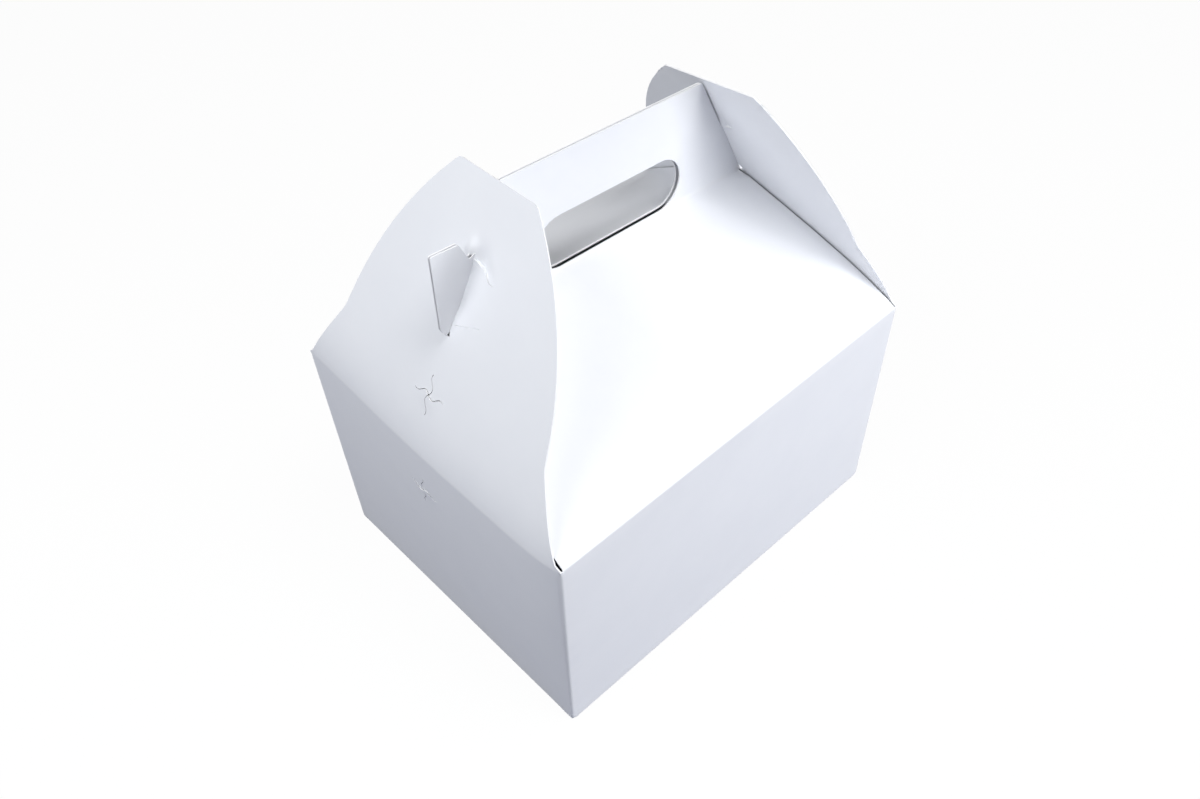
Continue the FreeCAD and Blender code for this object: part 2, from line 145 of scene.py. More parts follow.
# How the free end of each flap is swayed, stretched, tilted and widened, how sharply that sets in
# towards the free end, and how fast the shift of its root fades.
LEFT_SET = (1.0, 0.6, 0.03, -0.02)
RIGHT_SET = (3.1, 1.7, 0.10, 0.11)
FREE_POWER = 4
ROOT_FADE = 35.0

# How an end flap leans: a sharp turn at the crease, then a soft curve to its final angle.
SHARP_LEAN = math.radians(8.0)
FULL_LEAN = math.radians(29.3)
SHARP_LENGTH = 1.6
SOFT_LENGTH = 12.0
LEAN_MARGIN = 5.0
LEAN_POINTS = 1200

# The gap between an end flap and the side edges of the roof and handle, at the left and right end.
EDGE_CLEARANCE = {-1: 0.3, 1: 0.8}

# The slot for the tab, the slits that free the tongue beside it, and how the tongue is pushed in.
SLOT_NEAR, SLOT_FAR = -1.2, 1.0
SLOT_FOOT = 49.6
NEAR_NICK = (0.7, 1.8)
FAR_NICK = (2.2, 4.2)
SLIT = 0.25
TONGUE_ROOT = -13.0
UPPER_SLIT = [
    (5.6, 80.9), (3.4, 80.7), (1.2, 80.1), (-1.6, 79.6),
    (-4.8, 78.9), (-7.4, 77.5), (-9.2, 75.8), (-11.0, 75.2), (-12.4, 75.4),
]
LOWER_SLIT = [(-1.0, 54.8), (-12.4, 59.2)]
TONGUE_PUSH = 1.3
TONGUE_CURL = 4.0
TONGUE_EASES = [(55.0, 62.0), (81.0, 75.0)]

# Where the hook presses and pulls the flap beside the slot: place, size and how far inwards.
PRESSED = [
    ((3.0, 82.4), (2.4, 3.6), -0.9), ((-2.4, 79.8), (3.6, 5.0), 1.4), ((-6.6, 78.3), (3.6, 2.6), 0.5),
]

# The steam vents: pinwheels of S-shaped slits.
FLAP_VENT = (1.1, 25.4)
WALL_VENT = (-2.5, RIM - 24.0)
VENT_ARM = 8.0
VENT_START = 0.25
VENT_POINTS = 12
VENT_SWAY = 1.1
VENT_WAVE = 0.9
VENT_LIFT = 0.45
VENT_SPREAD = 5.0

# The bottom and the glue flap.
SEAM = 0.4
INNER_FLAP = 62.0
INNER_FLAP_EDGE, INNER_FLAP_FOLD = 73.0, 75.5
GLUE_FLAP = 15.0
GLUE_FLAP_TAPER = 6.0
GLUE_FLAP_DROP = 0.5

# Length that a section line runs on past its last fold where no panel follows.
STUB = 1e-3

# How far the panels bow out of their planes.
RIM_BOW = 2.0
RIM_DROP = 1.2
RIM_BOW_FADE = 24.0
RIM_BOW_PEAK, RIM_BOW_POWER, RIM_BOW_END = 0.6, 1.3, 20
WALL_BELLY = 0.6
ROOF_BELLY = 0.5
PLY_BELLY = 0.3

# Spacing of mesh points over the panels, along their cut edges and in the finely meshed boxes. The
# distance of a grid's rows, and that of its points from others, are shares of its step.
STEP = 5.0
EDGE_STEP = 2.5
FINE_STEP = 1.2
ROW_SPACING, NEAREST = 0.866, 0.55
TONGUE_BOX = (-18.0, 46.0, 10.0, 96.0)
FLAP_VENT_BOX = (-11.0, 16.0, 11.0, 38.0)
WALL_VENT_BOX = 11.0

# Mesh lines: the rows up an end flap, the columns in from an end wall's corners, and how far the
# lines stay away from the edges of their panels.
FLAP_ROWS = (0.2, 0.4, 0.7, 1.0, 1.3, 1.7, 2.1, 2.5, 2.9, 3.4, 4.0, 4.8)
CORNER_COLUMNS = (2.6, 4.4, 7.0, 10.5)
FOLD_LINE_INSET, CREASE_LINE_INSET, FLAP_LINE_INSET = 1.2, 1.5, 5.0
INNER_LINE_REACH = 74.5
FOLD_COLUMN_GAP, CORNER_COLUMN_GAP = 0.1, 3.0
COLUMN_MARGIN = 0.01

# Where the surface is worn: up from an end flap's root, and out from an end wall's corner fold.
FLAP_WEAR = 0.8
CORNER_WEAR = 0.6

# Where the end walls and end flaps lie in the cut sheet, seen from the side panels.
END_WALL_OFFSET = 300.0
END_FLAP_OFFSET = (600.0, 300.0)

# The card's colours, in linear light: the mottle's two tones, the worn crease and the cut edge.
CARD_TONES = ((0.800, 0.812, 0.845, 1.0), (0.845, 0.855, 0.880, 1.0))
WORN_TONE = (0.86, 0.865, 0.88, 1.0)
EDGE_TONES = ((0.83, 0.83, 0.845, 1.0), (0.90, 0.90, 0.905, 1.0))
WEAR_SHARE = 0.5
CARD_ROUGHNESS = (0.46, 0.60)

# Sockets of a colour mix: its two colours and its result.
FIRST, SECOND, MIXED = 6, 7, 2

# The floor and the world, with sizes in metres.
FLOOR_SIZE = 6.0
FLOOR_DROP = 0.0003
FLOOR_LIT = (0.05, 0.065, 0.15, 1.0)
FLOOR_SEEN = (0.95, 0.95, 0.95, 1.0)
FLOOR_GLOW = 0.96
WHITE = (1.0, 1.0, 1.0, 1.0)
AMBIENT = 0.12
AMBIENT_COLOUR = (0.93, 0.95, 1.0, 1.0)

# Each lamp's direction from the box, its distance and size in metres, its power and its colour.
LAMPS = {
    "front_lamp": ((0.33, -0.93, 0.12), 0.95, 0.45, 6.1, (0.965, 0.98, 1.0)),
    "left_lamp": ((-0.73, 0.07, 0.67), 0.7, 0.45, 3.15, (0.955, 0.975, 1.0)),
    "top_lamp": ((0.15, -0.36, 0.93), 1.0, 0.45, 5.3, (1.0, 1.0, 1.0)),
}
LAMP_AIM = (0.0, 0.0, 0.1)

# The camera's place, its azimuth, pitch and roll in degrees, and its lens.
CAMERA_PLACE = (-216.7, -226.0, 381.5)
CAMERA_TURNS = (42.83, 44.96, 1.24)
FOCAL_PIXELS, IMAGE_WIDTH = 953.4, 1200.0
SENSOR_WIDTH = 36.0


def unit(vector):
    """A vector's direction."""
    return vector / np.linalg.norm(vector)


def smooth(share):
    """An eased step from 0 to 1."""
    share = np.clip(share, 0.0, 1.0)
    return share * share * (3.0 - 2.0 * share)


def fillet(before, corner, after, radius):
    """Points of the arc that rounds the corner of a flat line."""
    before, corner, after = (np.array(point, float) for point in (before, corner, after))
    into, out = unit(corner - before), unit(after - corner)
    turn = math.atan2(into[0] * out[1] - into[1] * out[0], into @ out)
    start = corner - into * radius * math.tan(abs(turn) / 2)
    centre = start + math.copysign(radius, turn) * np.array([-into[1], into[0]])
    count = max(2, math.ceil(abs(turn) / FOLD_TURN))
    angles = [turn * i / count for i in range(count + 1)]
    spoke = start - centre
    return [
        centre + np.array([spoke[0] * math.cos(a) - spoke[1] * math.sin(a),
                           spoke[0] * math.sin(a) + spoke[1] * math.cos(a)])
        for a in angles
    ]


def divided(points, spacing, closed=False):
    """A flat line's points, with more between them so that none are further apart than spacing."""
    points = [np.array(point, float) for point in points]
    ends = points[1:] + (points[:1] if closed else [])
    result = []
    for start, end in zip(points, ends):
        count = max(1, math.ceil(np.linalg.norm(end - start) / spacing))
        result += [start + (end - start) * i / count for i in range(count)]
    return result if closed else result + [points[-1]]


def ribbon(line, width):
    """The closed outline of a narrow slit along a flat line."""
    line = [np.array(point, float) for point in line]
    left, right = [], []
    for i, point in enumerate(line):
        along = unit(line[min(i + 1, len(line) - 1)] - line[max(i - 1, 0)])
        aside = np.array([-along[1], along[0]]) * width / 2
        left.append(point + aside)
        right.append(point - aside)
    return right + left[::-1]


class Path:
    """A section line through corner points, with rounded corners, measured by the length along it."""

    def __init__(self, corners, radii):
        points = [np.array(corners[0], float)]
        self.runs = []
        for before, corner, after, radius in zip(corners, corners[1:], corners[2:], radii):
            arc = fillet(before, corner, after, radius)
            self.runs.append((len(points) - 1, len(points)))
            points += arc
        self.runs.append((len(points) - 1, len(points)))
        points.append(np.array(corners[-1], float))
        self.points = np.array(points)
        steps = np.linalg.norm(np.diff(self.points, axis=0), axis=1)
        self.lengths = np.concatenate([[0.0], np.cumsum(steps)])

    def at(self, length):
        """The point at each length, as an array of rows."""
        return np.stack([np.interp(length, self.lengths, self.points[:, k]) for k in (0, 1)], -1)

    def normal(self, length):
        """The unit vector to the left of the line at each length."""
        ahead = self.at(length + 0.05) - self.at(length - 0.05)
        ahead /= np.linalg.norm(ahead, axis=1)[:, None]
        return np.stack([-ahead[:, 1], ahead[:, 0]], -1)

    def run(self, index):
        """The lengths at which a straight run starts and ends."""
        start, end = self.runs[index]
        return self.lengths[start], self.lengths[end]

    def find(self, index, axis, value):
        """The length at which a straight run has this value on this axis."""
        start, end = self.points[list(self.runs[index])][:, axis]
        low, high = self.run(index)
        return low + (high - low) * (value - start) / (end - start)

    def fold_rows(self):
        """Lengths of the points on the rounded corners."""
        return list(self.lengths[1:-1])

    def fold_middles(self):
        """Lengths at the middle of each rounded corner."""
        return [(self.run(i)[1] + self.run(i + 1)[0]) / 2 for i in range(len(self.runs) - 1)]


def in_loop(points, loop):
    """Which of the points lie inside a closed flat outline."""
    x, y = points[:, 0][:, None], points[:, 1][:, None]
    loop = np.array(loop)
    ahead = np.roll(loop, -1, axis=0)
    crosses = (loop[:, 1] > y) != (ahead[:, 1] > y)
    rise = ahead[:, 1] - loop[:, 1]
    rise[rise == 0] = 1e-12
    meets = loop[:, 0] + (y - loop[:, 1]) / rise * (ahead[:, 0] - loop[:, 0])
    return (np.sum(crosses & (x < meets), axis=1) % 2).astype(bool)


def inside(points, outline, holes):
    """Which of the points lie on a panel and not in its holes."""
    kept = in_loop(points, outline)
    for hole in holes:
        kept &= ~in_loop(points, hole)
    return kept


def filling(outline, holes, taken, fine):
    """Points on grids over a panel, none of them too near to the points already taken."""
    chosen = [np.array(taken)]
    low, high = np.min(outline, axis=0), np.max(outline, axis=0)
    for (x0, y0, x1, y1), step in [*fine, ((low[0], low[1], high[0], high[1]), STEP)]:
        columns = np.arange(x0, x1 + step, step)
        rows = np.arange(y0, y1 + step, step * ROW_SPACING)
        grid = np.array([(x + (i % 2) * step / 2, y) for i, y in enumerate(rows) for x in columns])
        grid = grid[inside(grid, outline, holes)]
        held = np.concatenate(chosen)
        gaps = np.min(np.hypot(grid[:, :1] - held[:, 0], grid[:, 1:] - held[:, 1]), axis=1)
        chosen.append(grid[gaps > step * NEAREST])
    return np.concatenate(chosen[1:])


def triangulate(outline, holes, lines, fine):
    """Flat points and triangles of a panel with holes, whose mesh follows the given lines."""
    points, edges = [], []
    chains = [(chain, True) for chain in (outline, *holes)] + [(line, False) for line in lines]
    for chain, closed in chains:
        first = len(points)
        points += list(chain)
        edges += [(first + i, first + i + 1) for i in range(len(chain) - 1)]
        if closed:
            edges.append((len(points) - 1, first))
    points += list(filling(outline, holes, points, fine))
    made = delaunay_2d_cdt([Vector(point) for point in points], edges, [], 0, 1e-4)
    flat = np.array([tuple(point) for point in made[0]])
    faces = np.array([face for face in made[2] if len(face) == 3])
    centres = flat[faces].mean(axis=1)
    return flat, faces[inside(centres, outline, holes)]


class Sheet:
    """The middle layer of folded card, made of panels that share their edge points."""

    def __init__(self):
        self.mesh = bmesh.new()
        self.blank = self.mesh.loops.layers.uv.new("blank")
        self.wear = self.mesh.verts.layers.float.new("wear")

    def panel(self, outline, place, wear, holes, lines, fine=(), offset=(0.0, 0.0)):
        """Adds a flat panel, put in space by place and worn as wear says."""
        flat, faces = triangulate(outline, holes, lines, fine)
        verts = [self.mesh.verts.new(Vector(point) * MM) for point in place(flat)]
        for vert, amount in zip(verts, wear(flat)):
            vert[self.wear] = amount
        for face in faces:
            made = self.mesh.faces.new([verts[i] for i in face])
            for loop, i in zip(made.loops, face):
                loop[self.blank].uv = ((flat[i][0] + offset[0]) * MM, (flat[i][1] + offset[1]) * MM)

    def weld(self):
        """Joins the panels where they meet, and drops points that no face uses."""
        loose = [vert for vert in self.mesh.verts if not vert.link_faces]
        bmesh.ops.delete(self.mesh, geom=loose, context="VERTS")
        bmesh.ops.remove_doubles(self.mesh, verts=self.mesh.verts, dist=WELD * MM)
        self.mesh.normal_update()

    def thick_mesh(self):
        """A mesh of both faces of the card and its cut edges."""
        solid = bmesh.new()
        blank = solid.loops.layers.uv.new("blank")
        wear = solid.verts.layers.float.new("wear")
        over, under = {}, {}
        for side, offset in ((over, HALF_CARD), (under, -HALF_CARD)):
            for vert in self.mesh.verts:
                side[vert] = solid.verts.new(vert.co + vert.normal * offset * MM)
                side[vert][wear] = vert[self.wear]

        def add(corners, places, material, rounded):
            """A face at these corners, with their places in the cut sheet."""
            face = solid.faces.new(corners)
            face.material_index = material
            face.smooth = rounded
            for loop, place in zip(face.loops, places):
                loop[blank].uv = place

        for face in self.mesh.faces:
            places = [loop[self.blank].uv.copy() for loop in face.loops]
            add([over[vert] for vert in face.verts], places, 0, True)
            add([under[vert] for vert in reversed(face.verts)], places[::-1], 0, True)
        for edge in self.mesh.edges:
            if edge.is_boundary:
                loop = edge.link_loops[0]
                start, end = loop.vert, loop.link_loop_next.vert
                here = loop[self.blank].uv.copy()
                there = loop.link_loop_next[self.blank].uv.copy()
                corners = [under[start], under[end], over[end], over[start]]
                add(corners, [here, there, there, here], 1, False)
        return solid

    def thickened(self, name, materials):
        """The finished piece, as an object in the scene."""
        self.weld()
        solid = self.thick_mesh()
        data = bpy.data.meshes.new(name)
        solid.to_mesh(data)
        solid.free()
        self.mesh.free()
        for material in materials:
            data.materials.append(material)
        data.set_sharp_from_angle(angle=SHARP_EDGE)
        piece = bpy.data.objects.new(name, data)
        bpy.context.scene.collection.objects.link(piece)
        return piece


# Places of the middle layer's planes.
WALL_PLANE = HALF_WIDTH - HALF_CARD
END_PLANE = HALF_LENGTH - HALF_CARD
PLY_PLANE = PLY_FACE - HALF_CARD
ROOF_SLOPE = math.atan2(ROOF_RISE, HALF_WIDTH - PLY_FACE)
RIM_FOLD_REACH = FOLD * math.tan((math.pi / 2 - ROOF_SLOPE) / 2)
RIM_MIDDLE = RIM - HALF_CARD * math.tan((math.pi / 2 - ROOF_SLOPE) / 2)
CREASE_MIDDLE = CREASE + HALF_CARD * math.tan((math.pi / 2 - ROOF_SLOPE) / 2)
WALL_TOP = RIM_MIDDLE - RIM_FOLD_REACH
INNER_FLOOR = HALF_CARD + CARD + LAYER_GAP
WALL_FOOT = INNER_FLOOR + FOLD
CORNER_START = END_PLANE - FOLD


def lean_profile():
    """The end flap's middle line, as lengths along it with the run inwards and the rise."""
    along = np.linspace(0.0, FLAP_LENGTH + LEAN_MARGIN, LEAN_POINTS)
    sharp = SHARP_LEAN * smooth(along / SHARP_LENGTH)
    angle = sharp + (FULL_LEAN - SHARP_LEAN) * (1.0 - np.exp(-along / SOFT_LENGTH))
    middle = (angle[1:] + angle[:-1]) / 2.0
    steps = np.diff(along)
    inward = np.concatenate([[0.0], np.cumsum(np.sin(middle) * steps)])
    rise = np.concatenate([[0.0], np.cumsum(np.cos(middle) * steps)])
    return along, inward, rise, angle


LEAN_LENGTH, LEAN_RUN, LEAN_RISE, LEAN_ANGLE = lean_profile()


def rim_slack(across):
    """Share of the rim crease's bow at a place on it: fullest towards one end of the crease."""
    share = np.clip((WALL_PLANE - across) / (2 * WALL_PLANE), 0.0, 1.0)
    rising = np.sin(np.minimum(share / RIM_BOW_PEAK, 1.0) * math.pi / 2) ** RIM_BOW_POWER
    return rising * (1.0 - share ** RIM_BOW_END)


def corner_shift(points):
    """How far out of true the walls stand at each point."""
    x, y, z = points.T
    height = np.clip(z / RIM, 0.0, 1.0)
    total = np.zeros_like(points)
    for (x_side, y_side, top), shift in CORNER_SHIFTS.items():
        weight = (1 + x_side * x / HALF_LENGTH) * (1 + y_side * y / HALF_WIDTH) / 4
        weight = weight * (height if top else 1 - height)
        total += weight[:, None] * np.array(shift)
    return total


def settled(points):
    """Where points of the folded carton end up: walls out of true, handle lifted and swayed."""
    x, _, z = points.T
    share = np.clip((z - RIM) / ROOF_RISE, 0.0, 1.0)
    right = (1.0 + x / TAB_END) / 2
    lift = LEFT_LIFT + (RIGHT_LIFT - LEFT_LIFT) * right
    lift += TOP_GROWTH * np.clip((z - HOLE_TOP) / (HANDLE_TOP - HOLE_TOP), 0.0, 1.0)
    sway = LEFT_SWAY + (RIGHT_SWAY - LEFT_SWAY) * right
    risen = np.stack([np.zeros_like(x), sway * share, lift * share], -1)
    return points + corner_shift(points) * (1.0 - share[:, None]) + risen


def flap_edge(side, y, z):
    """How far from the middle a side edge of the roof or handle may reach before it meets the flap."""
    _, y, height = settled(np.array([[side * TAB_END, y, z]]))[0]
    across = -side * y
    along = np.interp(height - WALL_TOP, LEAN_RISE, LEAN_LENGTH)
    lean = np.interp(along, LEAN_LENGTH, LEAN_ANGLE)
    bow = RIM_BOW * rim_slack(across) * np.exp(-along / RIM_BOW_FADE)
    surface = END_PLANE + bow - np.interp(along, LEAN_LENGTH, LEAN_RUN)
    return surface - (HALF_CARD + EDGE_CLEARANCE[side]) / np.cos(lean)


def side_section():
    """The line from the bottom's seam out to a side wall, up it, over the roof and up the handle."""
    corners = [
        (-SEAM / 2, HALF_CARD), (-WALL_PLANE, HALF_CARD), (-WALL_PLANE, RIM_MIDDLE),
        (-PLY_PLANE, CREASE_MIDDLE), (-PLY_PLANE, HANDLE_TOP),
    ]
    return Path(corners, [FOLD, FOLD, CREASE_FOLD])


BOTTOM, WALL, ROOF, PLY = range(4)


def wall_edge(path, run):
    """Lengths of the points on a wall's upright edge, from its foot to its top."""
    heights = divided([(WALL_FOOT, 0.0), (WALL_TOP, 0.0)], EDGE_STEP)
    return [path.find(run, 1, z) for z, _ in heights]


def level_line(reach, row):
    """A mesh line across a panel, level with its folds."""
    return divided([(-reach, row), (reach, row)], STEP)


def side_half_outline(section, sign, side):
    """The half of a side panel's outline at one end, from the bottom's seam up to the handle's top."""
    points = [
        (END_PLANE - BOTTOM_INSETS[0], 0.0),
        (END_PLANE - BOTTOM_INSETS[1], section.run(BOTTOM)[1]),
    ]
    points += [(CORNER_START, length) for length in wall_edge(section, WALL)]
    roof_start, roof_end = section.run(ROOF)
    for length in np.linspace(roof_start, roof_end, ROOF_END_POINTS):
        y, z = section.at(np.array([length]))[0]
        points.append((min(CORNER_START - ROOF_INSET, flap_edge(side, sign * y, z)), length))
    root, lip, top = [(flap_edge(side, 0.0, z), z) for z in (TAB_ROOT, NOTCH_LIP, HANDLE_TOP)]
    tab = [root, *TAB, lip, top, (0.0, HANDLE_TOP)]
    rounded = [root]
    for before, corner, after, radius in zip(tab, tab[1:], tab[2:], [*TAB_RADII, HANDLE_CORNER]):
        rounded += fillet(before, corner, after, radius)
    return points + [(x, section.find(PLY, 1, z)) for x, z in rounded]


def closed_outline(right, left):
    """A closed outline from its two halves, each drawn on the right and ending near the middle line."""
    return [*right, *[(-x, y) for x, y in left if abs(x) > TINY][::-1]]


def hand_hole(section, shift):
    """The round-ended hole in a ply of the handle."""
    radius = (HOLE_TOP - HOLE_BOTTOM) / 2
    middle = section.find(PLY, 1, HOLE_BOTTOM + radius)
    straight = HOLE_LENGTH / 2 - radius
    angles = np.linspace(-math.pi / 2, math.pi / 2, HOLE_POINTS)
    right = [(straight + radius * math.cos(a), middle + radius * math.sin(a)) for a in angles]
    left = [(-x, y) for x, y in right[::-1]]
    shifted = [(x + shift, y) for x, y in right + left]
    return divided(shifted, EDGE_STEP, closed=True)


def worn_near(lengths):
    """A panel's wear: most at the given lengths and gone about 2 mm from them."""
    def wear(flat):
        gaps = np.min(np.abs(flat[:, 1][:, None] - np.array(lengths)), axis=1)
        return np.exp(-(gaps ** 2))
    return wear


def side_bulge(section, across, length):
    """How far a side panel's wall, roof and ply belly out at each point."""
    span = np.clip(1.0 - (across / CORNER_START) ** 2, 0.0, 1.0)
    bulge = np.zeros(len(across))
    for run, height in ((WALL, WALL_BELLY), (ROOF, ROOF_BELLY), (PLY, PLY_BELLY)):
        start, end = section.run(run)
        share = np.clip((length - start) / (end - start), 0.0, 1.0)
        bulge += height * span * np.sin(math.pi * share) ** 2
    return bulge


def side_fold_lines(section, crease_reach):
    """Mesh lines along a side panel's folds: the one from roof to handle is shorter than the rest."""
    crease = section.run(ROOF)[1]
    lines = []
    for row in section.fold_rows():
        in_crease = row >= crease - TINY
        reach = crease_reach - CREASE_LINE_INSET if in_crease else CORNER_START - FOLD_LINE_INSET
        lines.append(level_line(reach, row))
    return lines


def side_panel(sheet, turned):
    """Front half of the carton, or with turned its back half: bottom flap, wall, roof and ply."""
    section = side_section()
    sign = -1.0 if turned else 1.0
    ply_start, ply_end = section.run(PLY)
    hole_top = section.find(PLY, 1, HOLE_TOP)
    crease_length = section.find(PLY, 1, CREASE_MIDDLE)
    crease_reach = flap_edge(-1.0, 0.0, CREASE)

    def place(flat):
        across, length = flat[:, 0], flat[:, 1]
        beyond = np.abs(across) - crease_reach
        bulge = side_bulge(section, across, length)
        points = section.at(length) + section.normal(length) * bulge[:, None]
        upright = np.stack([np.full(len(flat), -PLY_PLANE), CREASE_MIDDLE + length - crease_length], -1)
        beside = smooth((beyond + TAB_TURN_INSET) / TAB_TURN_WIDTH)
        beside *= length > ply_start - TAB_TURN_DROP
        points += (upright - points) * beside[:, None]
        at_ends = smooth((beyond + PINCH_INSET) / PINCH_WIDTH)
        at_ends *= smooth((length - ply_start) / PINCH_RISE + beside)
        at_top = smooth((length - hole_top) / (ply_end - hole_top))
        points[:, 0] += PLY_PINCH * np.maximum(at_ends, at_top)
        return settled(np.stack([sign * across, sign * points[:, 0], points[:, 1]], -1))

    halves = [side_half_outline(section, sign, side) for side in (sign, -sign)]
    outline = divided(closed_outline(*halves), STEP, closed=True)
    sheet.panel(outline, place, worn_near(section.fold_middles()),
                holes=[hand_hole(section, sign * HOLE_SHIFT)],
                lines=side_fold_lines(section, crease_reach))


def vent(middle):
    """The outline of a steam vent: four S-shaped slits that meet in a pinwheel."""
    outline = []
    for quarter in range(4):
        angle = quarter * math.pi / 2
        out = np.array([math.cos(angle), math.sin(angle)])
        aside = np.array([-out[1], out[0]])
        line = []
        for reach in np.linspace(VENT_START, VENT_ARM, VENT_POINTS):
            sway = math.sin(2 * math.pi * reach / VENT_ARM * VENT_WAVE)
            line.append(middle + out * reach + aside * VENT_SWAY * sway)
        outline += ribbon(line, SLIT)
    return outline


def vent_relief(flat, middle):
    """How far the leaves below a vent's level slits stand out."""
    across, along = flat[:, 0] - middle[0], flat[:, 1] - middle[1]
    slit = VENT_SWAY * np.sin(2 * math.pi * across / VENT_ARM * VENT_WAVE)
    near = np.exp(-(across ** 2 + along ** 2) / VENT_SPREAD ** 2)
    return VENT_LIFT * near * (along < slit)


def end_wall_outline(plan, upright, middle, glued):
    """The outline of an end wall, its inner bottom flap and, where glued, its glue flap."""
    near = plan.points[-1][0]
    start, end = plan.lengths[1] - middle, plan.lengths[-2] - middle
    foot, top = upright.find(1, 1, WALL_FOOT), upright.find(1, 1, WALL_TOP)
    flap_fold = upright.run(0)[1]
    edge = wall_edge(upright, 1)
    outline = [
        (-INNER_FLAP_EDGE, 0.0), (INNER_FLAP_EDGE, 0.0), (INNER_FLAP_FOLD, flap_fold), (near - FOLD, foot),
    ]
    if glued:
        tip = plan.lengths[-1] - middle
        outline += [(end, foot), (tip, foot + GLUE_FLAP_TAPER), (tip, top - GLUE_FLAP_TAPER)]
        outline += [(end, top - GLUE_FLAP_DROP), (near - FOLD, top)]
    else:
        outline += [(end, length) for length in edge]
    outline += [(start, length) for length in edge[::-1]]
    outline += [(-WALL_PLANE + FOLD, foot), (-INNER_FLAP_FOLD, flap_fold)]
    return divided(outline, STEP, closed=True)


def end_wall_lines(plan, upright, middle):
    """Mesh lines along an end wall's folds, and upright ones in its corners and beside them."""
    start, end = plan.lengths[1] - middle, plan.lengths[-2] - middle
    foot, top = upright.find(1, 1, WALL_FOOT), upright.find(1, 1, WALL_TOP)
    lines = [level_line(INNER_LINE_REACH, row) for row in upright.fold_rows()]
    folds = [length - middle for length in plan.fold_rows()]
    folds = [x for x in folds if start + COLUMN_MARGIN < x < end - COLUMN_MARGIN]
    beside = [x for inset in CORNER_COLUMNS for x in (start + inset, end - inset)]
    for columns, gap in ((folds, FOLD_COLUMN_GAP), (beside, CORNER_COLUMN_GAP)):
        lines += [divided([(x, foot + gap), (x, top - gap)], EDGE_STEP) for x in columns]
    return lines


def end_wall(sheet, turned, glued):
    """An end wall with the corners beside it, its inner bottom flap and, where glued, the glue flap."""
    sign = -1.0 if turned else 1.0
    upright = Path([(INNER_FLAP, INNER_FLOOR), (0.0, INNER_FLOOR), (0.0, WALL_TOP)], [FOLD])
    near = WALL_PLANE - CARD - LAYER_GAP if glued else WALL_PLANE
    tail = GLUE_FLAP if glued else STUB
    around_corners = [(-WALL_PLANE, FOLD + STUB), (-WALL_PLANE, 0.0), (near, 0.0), (near, FOLD + tail)]
    plan = Path(around_corners, [FOLD, FOLD])
    middle = plan.find(1, 0, 0.0)
    start, end = plan.lengths[1] - middle, plan.lengths[-2] - middle
    foot = upright.find(1, 1, WALL_FOOT)
    centre = np.array([WALL_VENT[0], upright.find(1, 1, WALL_VENT[1])])
    box = (*(centre - WALL_VENT_BOX), *(centre + WALL_VENT_BOX))

    def place(flat):
        around = plan.at(flat[:, 0] + middle)
        up = upright.at(flat[:, 1])
        slack = rim_slack(-around[:, 0]) * smooth(up[:, 1] / WALL_TOP)
        slack = np.where((flat[:, 1] > foot) & (around[:, 1] < TINY), slack, 0.0)
        out = END_PLANE + RIM_BOW * slack - around[:, 1] - up[:, 0]
        out += vent_relief(flat, centre)
        return settled(np.stack([-sign * out, -sign * around[:, 0], up[:, 1] - RIM_DROP * slack], -1))

    def wear(flat):
        corners = np.minimum(np.abs(flat[:, 0] - start), np.abs(flat[:, 0] - end))
        return np.exp(-((corners - CORNER_WEAR) ** 2))

    sheet.panel(end_wall_outline(plan, upright, middle, glued), place, wear, holes=[vent(centre)],
                lines=end_wall_lines(plan, upright, middle), fine=[(box, FINE_STEP)],
                offset=(-sign * (CORNER_START + END_WALL_OFFSET), 0.0))


def flap_half_outline():
    """The right half of an end flap's outline, from the middle of its root to the middle of its top."""
    root = WALL_PLANE
    chord = np.array([FLAP_TOP - SHOULDER, FLAP_LENGTH - SHOULDER_RISE])
    aside = unit(np.array([chord[1], -chord[0]]))
    first = np.array([SHOULDER, SHOULDER_RISE])
    shares = np.linspace(0.0, 1.0, CURVE_POINTS)
    curve = [first + chord * t + aside * 4 * FLAP_BULGE * t * (1 - t) for t in shares]
    corner = fillet(curve[-2], curve[-1], (0.0, FLAP_LENGTH), FLAP_CORNER)
    low = [
        (0.0, 0.0), (root, 0.0), (root - ROOT_FOOT[0], ROOT_FOOT[1]),
        (root - ROOT_RELIEF - ROOT_CUT[0], ROOT_CUT[1]),
    ]
    shoulder = fillet(low[-1], curve[0], curve[1], SHOULDER_RADIUS)
    return [*low, *shoulder, *curve[2:-1], *corner, (0.0, FLAP_LENGTH)]


def slit_height(slit, across):
    """How far up the flap a tongue's slit lies at a distance from the middle line."""
    places, heights = np.array(slit)[::-1].T
    return np.interp(across, places, heights)


def hook_push(across, along, middle):
    """How far the tab and its hook push an end flap inwards at each point."""
    upper, lower = slit_height(UPPER_SLIT, across), slit_height(LOWER_SLIT, across)
    in_tongue = (across > TONGUE_ROOT) & (across < middle) & (along < upper) & (along > lower)
    freed = np.clip((across - TONGUE_ROOT) / (middle - TONGUE_ROOT), 0.0, 1.0)
    push = np.where(in_tongue, TONGUE_PUSH * freed ** TONGUE_CURL, 0.0)
    for start, end in TONGUE_EASES:
        push *= smooth((along - start) / (end - start))
    for (x, y), (width, height), inwards in PRESSED:
        near = np.exp(-(((across - x) / width) ** 2) - ((along - y) / height) ** 2)
        push += np.where(along > upper, inwards * near, 0.0)
    return push


